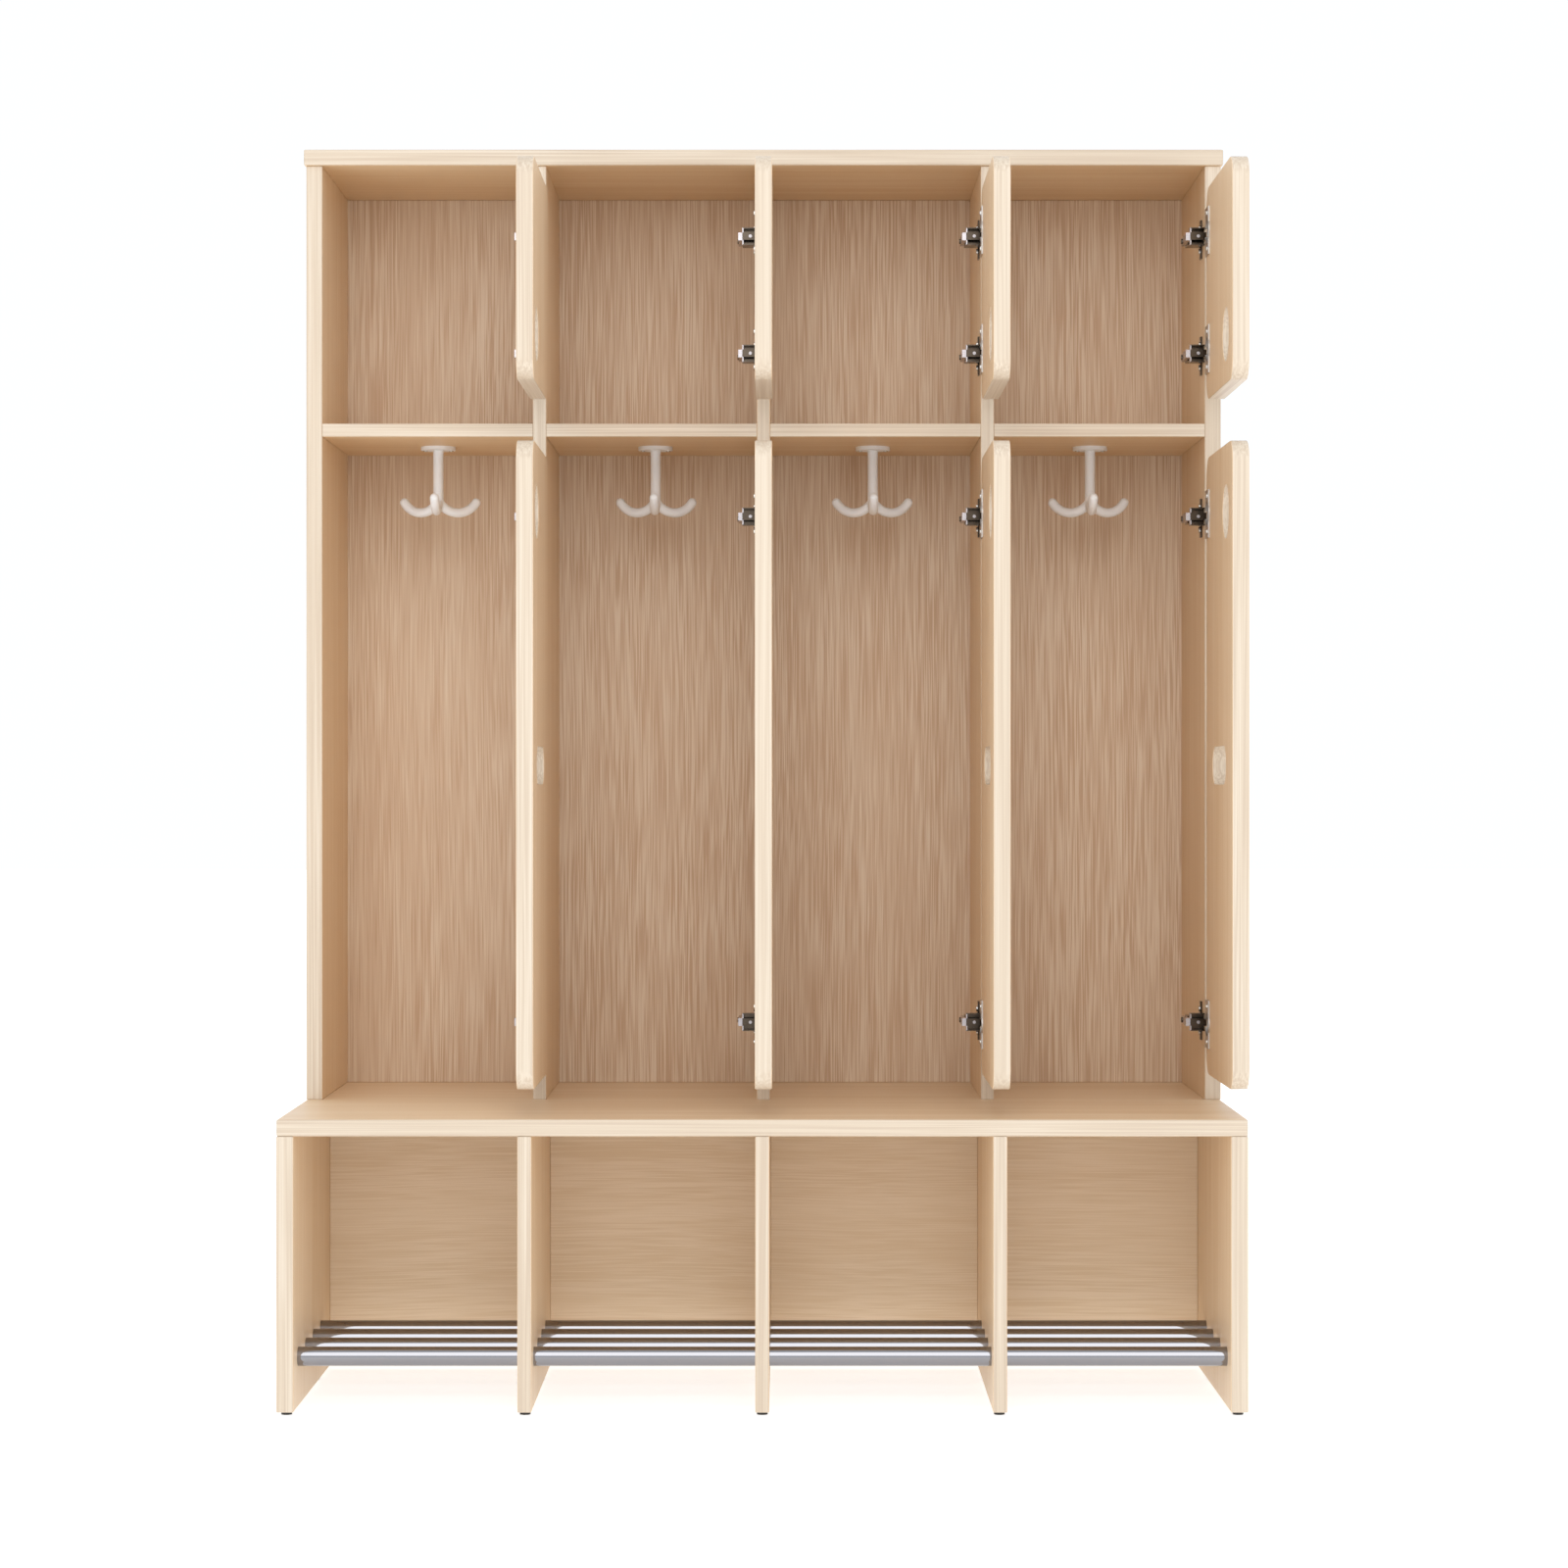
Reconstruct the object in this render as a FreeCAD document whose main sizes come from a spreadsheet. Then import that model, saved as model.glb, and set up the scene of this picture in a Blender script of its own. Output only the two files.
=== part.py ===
"""Cloakroom bench: four lockers over a seat with a shoe rack.

Millimetres. X runs to the right, Y to the back and Z up. The origin lies on the floor,
in the middle of the width, under the front of the lockers. The doors stand open.
"""
import FreeCAD, Part
import Sketcher
import math
import os
import re

doc = FreeCAD.newDocument("CloakroomBench")

# Driving dimensions
SIZES = {
    # boards
    "BayWidth": 288,
    "SideThickness": 22,
    "DividerThickness": 18,
    "ShelfThickness": 18,
    "TopThickness": 22,
    "SeatThickness": 22,
    "BackThickness": 4,
    "BaseBackThickness": 16,
    "BaseHeight": 355,
    "SeatReach": 300,
    "LockerDepth": 296,
    "BaseBackSet": 385,
    "TopSideOverhang": 3,
    "TopFrontOverhang": 5,
    # glides
    "GlideHeight": 5,
    "GlideRadius": 7,
    "GlideInset": 20,
    # shoe rods
    "RodRadius": 12.5,
    "RodRise": 65,
    "RodInset": 50,
    "RodPitch": 79,
    "RodSeat": 12,
    "RodFit": 0.1,
    # dowels
    "DowelRadius": 4,
    "DowelEdgeDepth": 20,
    "DowelFaceDepth": 8,
    "DowelFit": 0.1,
    "UprightDowelInset": 60,
    "ShelfDowelInset": 80,
    "BaseDowelInset": 90,
    "BaseBackDowelInset": 60,
    # doors
    "DoorThickness": 22,
    "DoorOverlay": 9,
    "DoorFreeGap": 5,
    "DoorGap": 2,
    "DoorCornerRadius": 28,
    "UpperDoorHeight": 288,
    "UpperDoorRise": 28,
    "UpperDoorDrop": 36,
    "TallDoorHeight": 836,
    "TallDoorRise": 38,
    "TallDoorDrop": 32,
    "FingerHoleRadius": 35,
    "FingerHoleInset": 74,
    "UpperFingerHoleRise": 65,
    "TallFingerHoleDrop": 88,
    "SlotLength": 150,
    "SlotHeight": 50,
    # hinge places on the doors
    "UpperHingeDrop": 60,
    "UpperHingeRise": 68,
    "TallHingeDrop": 77,
    "TallHingeRise": 68,
    # hinge pin and knuckles
    "PivotDepth": 16,
    "PivotOut": 6.5,
    "PinRadius": 1.5,
    "PinFit": 0.05,
    "EyeRadius": 3,
    "EyeHeight": 10,
    "KnuckleHeight": 6,
    "KnuckleGap": 0.3,
    # hinge cup
    "CupRadius": 17.5,
    "CupDepth": 11.5,
    "CupSet": 22.5,
    "CupWall": 1,
    "CupFit": 0.2,
    "FlangeThickness": 1.9,
    "FlangeHeight": 65,
    "FlangeReach": 36,
    "NotchReach": 12,
    "NotchMargin": 0.8,
    "CupScrewSpread": 48,
    "CupScrewHeadRadius": 3.5,
    "CupScrewHeadHeight": 1.5,
    "CupScrewRadius": 1.8,
    "CupScrewDepth": 12,
    # hinge arm and plate
    "StrapThickness": 1.4,
    "ArmStandoff": 20,
    "ArmHeight": 5.5,
    "ArmWidth": 10.5,
    "ArmFront": 2,
    "ArmLength": 58,
    "NoseLength": 14,
    "NoseWidth": 24,
    "NoseWall": 1.6,
    "RivetRadius": 2.2,
    "RivetRise": 0.8,
    "RivetSet": 9,
    "PlateSetback": 37,
    "PlateLength": 34,
    "PlateWidth": 14,
    "WingHeight": 53,
    "WingDepth": 14,
    "WingThickness": 2.5,
    "PlateScrewSpread": 32,
    "PlateScrewHeadRadius": 4,
    "PlateScrewHeadHeight": 2,
    "PlateScrewRadius": 2.4,
    "PlateScrewDepth": 12,
    "ArmScrewSet": 50,
    "ArmScrewHeadRadius": 3.5,
    "ArmScrewHeadHeight": 1.6,
    "ArmScrewRadius": 2,
    "ArmScrewDepth": 20,
    "ScrewFit": 0.1,
    # coat hooks
    "HookSet": 157,
    "HookFlangeRadius": 24.3,
    "HookFlangeHeight": 5,
    "HookHeadRadius": 10,
    "HookHeadHeight": 2,
    "HookPostRadius": 7.25,
    "HookFit": 0.3,
    "HookArmRadius": 6.6,
    "HookDrop": 91.5,
    "HookArmMiddle": 29.3,
    "HookArmSag": 15.5,
    "HookScrewSpread": 36,
    "HookScrewHeadRadius": 3.2,
    "HookScrewHeadHeight": 1.6,
    "HookScrewRadius": 1.7,
    "HookScrewDepth": 12,
    # cutting
    "Overrun": 1,
}
BAYS = 4
RODS = 4
HOOK_ARMS = 3

sheet = doc.addObject("Spreadsheet::Sheet", "Sizes")
for row, (alias, size) in enumerate(SIZES.items(), 1):
    sheet.set(f"A{row}", alias)
    sheet.set(f"B{row}", str(size))
    sheet.setAlias(f"B{row}", alias)
doc.recompute()

TURN_TO = {
    "z": FreeCAD.Rotation(),
    "x": FreeCAD.Rotation(FreeCAD.Vector(0, 1, 0), 90),
    "y": FreeCAD.Rotation(FreeCAD.Vector(1, 0, 0), 90),
}
nodes = {}


# Helpers

def sized(text):
    """Turn a sum of size names into an expression on the sheet."""
    return re.sub(r"[A-Z]\w+", lambda name: "Sizes." + name.group(), text)


def bind(item, prop, text):
    item.setExpression(prop, sized(text))


def place(item, at, axis="z"):
    item.Placement = FreeCAD.Placement(FreeCAD.Vector(), TURN_TO[axis])
    for letter, text in zip("xyz", at):
        bind(item, f"Placement.Base.{letter}", text)
    return item


def box(name, size, at):
    item = doc.addObject("Part::Box", name)
    for prop, text in zip(("Length", "Width", "Height"), size):
        bind(item, prop, text)
    return place(item, at)


def cylinder(name, radius, height, at, axis="z"):
    item = doc.addObject("Part::Cylinder", name)
    bind(item, "Radius", radius)
    bind(item, "Height", height)
    return place(item, at, axis)


def fuse(name, items):
    item = doc.addObject("Part::MultiFuse", name)
    item.Shapes = items
    return item


def cut(name, base, tool):
    item = doc.addObject("Part::Cut", name)
    item.Base = base
    item.Tool = tool
    return item


def group(name, items):
    item = doc.addObject("Part::Compound", name)
    item.Links = items
    return item


def copies(name, master, spots):
    """Group linked copies of a master, one at each spot of place and axis."""
    links = []
    for at, axis in spots:
        link = doc.addObject("App::Link", f"{name}_copy")
        link.LinkedObject = master
        links.append(place(link, at, axis))
    return group(name, links)


def node(name, item):
    item.Label = name
    nodes[name] = item
    return item


# Shared places

HALF = f"({BAYS / 2} * BayWidth + {(BAYS - 1) / 2} * DividerThickness + SideThickness)"
PITCH = "(BayWidth + DividerThickness)"
SEAT_Z = "(GlideHeight + BaseHeight)"
LOCKER_Z = f"({SEAT_Z} + SeatThickness)"
SHELF_Z = f"({LOCKER_Z} + TallDoorRise + TallDoorHeight + TallDoorDrop)"
UPPER_Z = f"({SHELF_Z} + ShelfThickness)"
TOP_Z = f"({UPPER_Z} + UpperDoorRise + UpperDoorHeight + UpperDoorDrop)"
REAR = "(LockerDepth + BackThickness)"
DEPTH = f"({REAR} + SeatReach)"
DOWEL_LENGTH = "(DowelEdgeDepth + DowelFaceDepth)"
DOOR_WIDTH = "(BayWidth + DoorOverlay - DoorFreeGap)"
PIVOT_X = "(DoorOverlay + PivotOut)"
PIVOT_Y = "(-DoorGap - PivotDepth)"
OPEN_EDGE_Y = f"({PIVOT_Y} - PivotOut)"
OPEN_FACE_X = f"({PIVOT_X} - PivotDepth)"


def bay_left(bay):
    return f"({bay - BAYS / 2} * {PITCH} + DividerThickness / 2)"


def bay_right(bay):
    return f"({bay_left(bay)} + BayWidth)"


uprights = [("side_left", f"(-{HALF})", "SideThickness")]
for number in range(1, BAYS):
    uprights.append((f"divider_{number}", f"({bay_right(number - 1)})", "DividerThickness"))
uprights.append(("side_right", f"({HALF} - SideThickness)", "SideThickness"))

UPPER_DOOR_Z = f"({UPPER_Z} + UpperDoorRise)"
TALL_DOOR_Z = f"({LOCKER_Z} + TallDoorRise)"
# Each kind of door: its bottom, its height and the heights of its hinges above the bottom
door_kinds = {
    "upper_door": (UPPER_DOOR_Z, "UpperDoorHeight",
                   ["UpperHingeRise", "(UpperDoorHeight - UpperHingeDrop)"]),
    "tall_door": (TALL_DOOR_Z, "TallDoorHeight",
                  ["TallHingeRise", "(TallDoorHeight - TallHingeDrop)"]),
}

hinge_spots = []
for bay in range(BAYS):
    for bottom, height, levels in door_kinds.values():
        for level in levels:
            hinge_spots.append((bay_right(bay), f"({bottom} + {level})"))


# Holes that the boards share: dowels, shoe rods and screws

dowel_spots = []
for name, left, thick in uprights:
    middle = f"({left} + {thick} / 2)"
    for y in ("UprightDowelInset", "(LockerDepth - UprightDowelInset)"):
        dowel_spots.append((middle, y, f"({TOP_Z} - DowelEdgeDepth)", "z"))
        dowel_spots.append((middle, y, f"({LOCKER_Z} - DowelFaceDepth)", "z"))
    for y in ("(BaseDowelInset - SeatReach)", f"({REAR} - BaseDowelInset)"):
        dowel_spots.append((middle, y, f"({SEAT_Z} - DowelEdgeDepth)", "z"))
BASE_BACK_Y = "(BaseBackSet - SeatReach)"
for bay in range(BAYS):
    for x in (f"({bay_left(bay)} - DowelFaceDepth)", f"({bay_right(bay)} - DowelEdgeDepth)"):
        for y in ("ShelfDowelInset", "(LockerDepth - ShelfDowelInset)"):
            dowel_spots.append((x, y, f"({SHELF_Z} + ShelfThickness / 2)", "x"))
        for z in ("(GlideHeight + BaseBackDowelInset)", f"({SEAT_Z} - BaseBackDowelInset)"):
            dowel_spots.append((x, f"({BASE_BACK_Y} + BaseBackThickness / 2)", z, "x"))

dowel = cylinder("dowel_master", "DowelRadius", DOWEL_LENGTH, ("0", "0", "0"))
dowel_hole = cylinder("dowel_hole_master", "DowelRadius + DowelFit",
                      f"{DOWEL_LENGTH} + 2 * DowelFit", ("0", "0", "0"))
hole_spots = []
for x, y, z, axis in dowel_spots:
    start = (f"{x} - DowelFit", y, z) if axis == "x" else (x, y, f"{z} - DowelFit")
    hole_spots.append((start, axis))
dowel_holes = copies("dowel_holes", dowel_hole, hole_spots)
node("panel_dowels", copies("panel_dowels", dowel,
                            [((x, y, z), axis) for x, y, z, axis in dowel_spots]))

ROD_START = f"({bay_left(0)} - RodSeat)"
ROD_LENGTH = f"({bay_right(BAYS - 1)} + RodSeat - {ROD_START})"
rod_places = [(f"{index} * RodPitch + RodInset - SeatReach", "GlideHeight + RodRise")
              for index in range(RODS)]
rods = []
rod_bores = []
for y, z in rod_places:
    rods.append(cylinder("rod", "RodRadius", ROD_LENGTH, (ROD_START, y, z), "x"))
    rod_bores.append(cylinder("rod_bore", "RodRadius + RodFit", f"{ROD_LENGTH} + 2 * RodFit",
                              (f"{ROD_START} - RodFit", y, z), "x"))
node("shoe_rods", group("shoe_rods", rods))

plate_screw_hole = cylinder("plate_screw_hole_master", "PlateScrewRadius + ScrewFit",
                            "PlateScrewDepth + ScrewFit", ("0", "0", "0"))
plate_screw_places = []
for face, level in hinge_spots:
    for end in ("-", "+"):
        plate_screw_places.append((face, "PlateSetback", f"{level} {end} PlateScrewSpread / 2"))
plate_screw_holes = copies("plate_screw_holes", plate_screw_hole,
                           [(at, "x") for at in plate_screw_places])

hook_places = [f"({bay_left(bay)} + BayWidth / 2)" for bay in range(BAYS)]
hook_screw_hole = cylinder("hook_screw_hole_master", "HookScrewRadius + ScrewFit",
                           "HookScrewDepth + ScrewFit", ("0", "0", "0"))
hook_screw_places = []
for x in hook_places:
    for end in ("-", "+"):
        hook_screw_places.append((f"{x} {end} HookScrewSpread / 2", "HookSet", SHELF_Z))
hook_screw_holes = copies("hook_screw_holes", hook_screw_hole,
                          [(at, "z") for at in hook_screw_places])

upper_holes = group("upper_holes", [dowel_holes, plate_screw_holes])
base_holes = group("base_holes", [dowel_holes] + rod_bores)
shelf_holes = group("shelf_holes", [dowel_holes, hook_screw_holes])


# Boards

def board(name, size, at, holes):
    return node(name, cut(name, box(f"{name}_blank", size, at), holes))


WIDTH = f"(2 * {HALF})"
board("top_panel", (f"{WIDTH} + 2 * TopSideOverhang", f"{REAR} + TopFrontOverhang", "TopThickness"),
      (f"-{HALF} - TopSideOverhang", "-TopFrontOverhang", TOP_Z), dowel_holes)
board("seat_board", (WIDTH, DEPTH, "SeatThickness"), (f"-{HALF}", "-SeatReach", SEAT_Z), dowel_holes)
for name, left, thick in uprights:
    board(f"upper_{name}", (thick, "LockerDepth", f"{TOP_Z} - {LOCKER_Z}"),
          (left, "0", LOCKER_Z), upper_holes)
    board(f"base_{name}", (thick, DEPTH, "BaseHeight"),
          (left, "-SeatReach", "GlideHeight"), base_holes)
for bay in range(BAYS):
    board(f"mid_shelf_{bay + 1}", ("BayWidth", "LockerDepth", "ShelfThickness"),
          (bay_left(bay), "0", SHELF_Z), shelf_holes)
    board(f"base_back_panel_{bay + 1}", ("BayWidth", "BaseBackThickness", "BaseHeight"),
          (bay_left(bay), BASE_BACK_Y, "GlideHeight"), dowel_holes)
node("upper_back_panel", box("upper_back_panel", (WIDTH, "BackThickness", f"{TOP_Z} - {LOCKER_Z}"),
                             (f"-{HALF}", "LockerDepth", LOCKER_Z)))

glide = cylinder("glide_master", "GlideRadius", "GlideHeight", ("0", "0", "0"))
glide_spots = []
for name, left, thick in uprights:
    for y in ("(GlideInset - SeatReach)", "0", f"({REAR} - GlideInset)"):
        glide_spots.append(((f"{left} + {thick} / 2", y, "0"), "z"))
node("glide_feet", copies("glide_feet", glide, glide_spots))


# Screws

def screw(name, head_radius, head_height, radius, depth):
    """A screw along Z whose head stands below zero and whose shank goes up."""
    head = cylinder(f"{name}_head", head_radius, head_height, ("0", "0", f"-({head_height})"))
    shank = cylinder(f"{name}_shank", radius, depth, ("0", "0", "0"))
    return fuse(name, [head, shank])


plate_screw = screw("plate_screw_master", "PlateScrewHeadRadius", "PlateScrewHeadHeight",
                    "PlateScrewRadius", "PlateScrewDepth + WingThickness - ScrewFit")
node("plate_screws", copies("plate_screws", plate_screw,
                            [((f"{x} - WingThickness", y, z), "x") for x, y, z in plate_screw_places]))
hook_screw = screw("hook_screw_master", "HookScrewHeadRadius", "HookScrewHeadHeight",
                   "HookScrewRadius", "HookScrewDepth + HookFlangeHeight - ScrewFit")
node("hook_screws", copies("hook_screws", hook_screw,
                           [((x, y, f"{z} - HookFlangeHeight"), "z") for x, y, z in hook_screw_places]))
arm_screw = screw("arm_screw_master", "ArmScrewHeadRadius", "ArmScrewHeadHeight",
                  "ArmScrewRadius", "ArmScrewDepth")
cup_screw = screw("cup_screw_master", "CupScrewHeadRadius", "CupScrewHeadHeight",
                  "CupScrewRadius", "CupScrewDepth + FlangeThickness - ScrewFit")


# Hinges. The cabinet half is drawn from the upright's face and the front of the lockers,
# the door half from the inner face and the hinge edge of its door.

def hinge_plate():
    """Winged plate that the arm sits on."""
    block = box("plate_block", ("ArmStandoff", "PlateLength", "PlateWidth"),
                ("-ArmStandoff", "PlateSetback - WingDepth / 2", "-PlateWidth / 2"))
    wings = box("plate_wings", ("WingThickness", "WingDepth", "WingHeight"),
                ("-WingThickness", "PlateSetback - WingDepth / 2", "-WingHeight / 2"))
    bores = []
    for end in ("-", "+"):
        bores.append(cylinder("wing_bore", "PlateScrewRadius + ScrewFit", "WingThickness + 2 * Overrun",
                              ("-WingThickness - Overrun", "PlateSetback",
                               f"{end}PlateScrewSpread / 2"), "x"))
    bores.append(cylinder("plate_arm_bore", "ArmScrewRadius + ScrewFit", "ArmStandoff",
                          ("-ArmStandoff - Overrun", "ArmScrewSet", "0"), "x"))
    return cut("hinge_plate_master", fuse("plate_solid", [block, wings]), group("plate_bores", bores))


def hinge_arm():
    """Arm, channel-shaped nose and goose neck that carries the middle knuckle."""
    arm = box("arm_bar", ("ArmHeight", "ArmLength", "ArmWidth"),
              ("-ArmStandoff - ArmHeight", "ArmFront", "-ArmWidth / 2"))
    nose = box("arm_nose", ("ArmStandoff", "NoseLength", "NoseWidth"),
               ("-ArmStandoff", "0", "-NoseWidth / 2"))
    channel = box("nose_channel",
                  ("ArmStandoff", "NoseLength - NoseWall + Overrun", "NoseWidth - 2 * NoseWall"),
                  ("NoseWall - ArmStandoff", "-Overrun", "NoseWall - NoseWidth / 2"))
    strap = box("arm_strap",
                (f"ArmStandoff + {PIVOT_X} + StrapThickness / 2", "StrapThickness", "EyeHeight"),
                ("-ArmStandoff", "-StrapThickness", "-EyeHeight / 2"))
    neck = box("arm_neck", ("StrapThickness", f"-{PIVOT_Y}", "EyeHeight"),
               (f"{PIVOT_X} - StrapThickness / 2", PIVOT_Y, "-EyeHeight / 2"))
    rivet = cylinder("arm_rivet", "RivetRadius", "StrapThickness + RivetRise", ("-RivetSet", "0", "0"), "y")
    eye = cylinder("arm_eye", "EyeRadius", "EyeHeight", (PIVOT_X, PIVOT_Y, "-EyeHeight / 2"))
    bore = cylinder("arm_eye_bore", "PinRadius + PinFit", "EyeHeight + 2 * Overrun",
                    (PIVOT_X, PIVOT_Y, "-EyeHeight / 2 - Overrun"))
    screw_bore = cylinder("arm_screw_bore", "ArmScrewRadius + ScrewFit", "ArmHeight + 2 * Overrun",
                          ("-ArmStandoff - ArmHeight - Overrun", "ArmScrewSet", "0"), "x")
    solid = fuse("arm_solid", [arm, cut("arm_channel", nose, channel), strap, rivet, neck, eye])
    return cut("hinge_arm_master", solid, group("arm_bores", [bore, screw_bore]))


def hinge_cup():
    """Cup, flange and the two outer knuckles, at the hinge edge of an open door."""
    low = "(EyeHeight / 2 + KnuckleGap)"
    flange = box("cup_flange", ("FlangeThickness", "FlangeReach", "FlangeHeight"),
                 ("-FlangeThickness", "-FlangeReach", "-FlangeHeight / 2"))
    cup = cylinder("cup_shell", "CupRadius - CupFit", "FlangeThickness + CupDepth - CupFit",
                   ("-FlangeThickness", "-CupSet", "0"), "x")
    solids = [flange, cup]
    bores = [
        cylinder("cup_hollow", "CupRadius - CupFit - CupWall",
                 "FlangeThickness + CupDepth - CupFit - CupWall + Overrun",
                 ("-FlangeThickness - Overrun", "-CupSet", "0"), "x"),
        box("cup_notch",
            ("FlangeThickness + Overrun", "NotchReach + Overrun", "EyeHeight + 2 * NotchMargin"),
            ("-FlangeThickness - Overrun", "-NotchReach", "-EyeHeight / 2 - NotchMargin")),
    ]
    for bottom in (low, f"(-{low} - KnuckleHeight)"):
        solids.append(box("cup_leaf", ("FlangeThickness + PivotDepth + StrapThickness / 2",
                                       "StrapThickness", "KnuckleHeight"),
                          ("-FlangeThickness", "0", bottom)))
        solids.append(box("cup_web", ("StrapThickness", "PivotOut", "KnuckleHeight"),
                          ("PivotDepth - StrapThickness / 2", "0", bottom)))
        solids.append(cylinder("cup_knuckle", "EyeRadius", "KnuckleHeight",
                               ("PivotDepth", "PivotOut", bottom)))
    bores.append(cylinder("knuckle_bore", "PinRadius + PinFit",
                          "EyeHeight + 2 * (KnuckleGap + KnuckleHeight + Overrun)",
                          ("PivotDepth", "PivotOut", f"-{low} - KnuckleHeight - Overrun")))
    for end in ("-", "+"):
        bores.append(cylinder("flange_bore", "CupScrewRadius + ScrewFit", "FlangeThickness + 2 * Overrun",
                              ("-FlangeThickness - Overrun", "-CupSet", f"{end}CupScrewSpread / 2"), "x"))
    return cut("hinge_cup_master", fuse("cup_solid", solids), group("cup_bores", bores))


plate_master = hinge_plate()
arm_master = hinge_arm()
cup_master = hinge_cup()
PIN_REACH = "(EyeHeight / 2 + KnuckleGap + KnuckleHeight)"
pin_master = cylinder("pin_master", "PinRadius", f"2 * {PIN_REACH}", ("0", "0", "0"))
arm_spots = [((x, "0", z), "z") for x, z in hinge_spots]
pin_spots = [((f"{x} + {PIVOT_X}", PIVOT_Y, f"{z} - {PIN_REACH}"), "z") for x, z in hinge_spots]
arm_screw_spots = [((f"{x} - ArmStandoff - ArmHeight", "ArmScrewSet", z), "x") for x, z in hinge_spots]
node("hinge_plates", copies("hinge_plates", plate_master, arm_spots))
node("hinge_arms", copies("hinge_arms", arm_master, arm_spots))
node("hinge_pins", copies("hinge_pins", pin_master, pin_spots))
node("arm_screws", copies("arm_screws", arm_screw, arm_screw_spots))


# Doors, drawn on the plane of their inner face from the free edge's lower corner

def plane(body, role):
    return next(item for item in body.Origin.OriginFeatures if item.Role == role)


def new_sketch(body, name, role="YZ_Plane"):
    sketch = body.newObject("Sketcher::SketchObject", name)
    sketch.AttachmentSupport = [(plane(body, role), "")]
    sketch.MapMode = "FlatFace"
    return sketch


def constrain(sketch, name, text, *parts):
    index = sketch.addConstraint(Sketcher.Constraint(*parts))
    sketch.renameConstraint(index, name)
    bind(sketch, f"Constraints.{name}", text)


def value(text):
    """Number that an expression gives now, for a sketch's first shape."""
    return float(sheet.evalExpression(sized(text)))


def point(across, up):
    return FreeCAD.Vector(value(across), value(up), 0)


def draw_rectangle(sketch, width, height):
    corners = [point("0", "0"), point(width, "0"), point(width, height), point("0", height)]
    for index, corner in enumerate(corners):
        sketch.addGeometry(Part.LineSegment(corner, corners[(index + 1) % 4]))
    for index in range(4):
        sketch.addConstraint(Sketcher.Constraint("Coincident", index, 2, (index + 1) % 4, 1))
        sketch.addConstraint(Sketcher.Constraint("Vertical" if index % 2 else "Horizontal", index))
    sketch.addConstraint(Sketcher.Constraint("Coincident", 0, 1, -1, 1))
    constrain(sketch, "width", width, "DistanceX", 0, 1, 0, 2, value(width))
    constrain(sketch, "height", height, "DistanceY", 1, 1, 1, 2, value(height))


def draw_circle(sketch, name, radius, across, up):
    index = sketch.addGeometry(Part.Circle(point(across, up), FreeCAD.Vector(0, 0, 1), value(radius)))
    constrain(sketch, f"{name}_radius", radius, "Radius", index, value(radius))
    constrain(sketch, f"{name}_across", across, "DistanceX", -1, 1, index, 3, value(across))
    constrain(sketch, f"{name}_up", up, "DistanceY", -1, 1, index, 3, value(up))


def draw_slot(sketch, length, height, across, up):
    """Obround centred on a point: two half circles and the lines between them."""
    run = f"({length} - {height})"
    radius = f"({height} / 2)"
    left = point(f"{across} - {run} / 2", up)
    right = point(f"{across} + {run} / 2", up)
    lift = FreeCAD.Vector(0, value(radius), 0)
    normal = FreeCAD.Vector(0, 0, 1)
    quarter = math.pi / 2
    ends = [Part.Circle(left, normal, value(radius)), Part.Circle(right, normal, value(radius))]
    first = sketch.addGeometry(Part.ArcOfCircle(ends[0], quarter, 3 * quarter))
    second = sketch.addGeometry(Part.ArcOfCircle(ends[1], -quarter, quarter))
    top = sketch.addGeometry(Part.LineSegment(left + lift, right + lift))
    bottom = sketch.addGeometry(Part.LineSegment(left - lift, right - lift))
    joins = ((first, 1, top, 1), (first, 2, bottom, 1), (second, 2, top, 2), (second, 1, bottom, 2))
    for arc, end, line, start in joins:
        sketch.addConstraint(Sketcher.Constraint("Tangent", arc, end, line, start))
    sketch.addConstraint(Sketcher.Constraint("Horizontal", top))
    sketch.addConstraint(Sketcher.Constraint("Equal", first, second))
    constrain(sketch, "slot_radius", radius, "Radius", first, value(radius))
    constrain(sketch, "slot_across", f"{across} - {run} / 2", "DistanceX", -1, 1, first, 3,
              value(f"{across} - {run} / 2"))
    constrain(sketch, "slot_up", up, "DistanceY", -1, 1, first, 3, value(up))
    constrain(sketch, "slot_run", run, "DistanceX", first, 3, second, 3, value(run))


def pad(body, sketch, length):
    feature = body.newObject("PartDesign::Pad", f"{sketch.Name}_pad")
    feature.Profile = sketch
    bind(feature, "Length", length)
    return feature


def pocket(body, sketch, length):
    """Cut from the sketch plane into the body, along the plane's normal."""
    feature = body.newObject("PartDesign::Pocket", f"{sketch.Name}_pocket")
    feature.Profile = sketch
    feature.Reversed = True
    bind(feature, "Length", length)
    return feature


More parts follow.
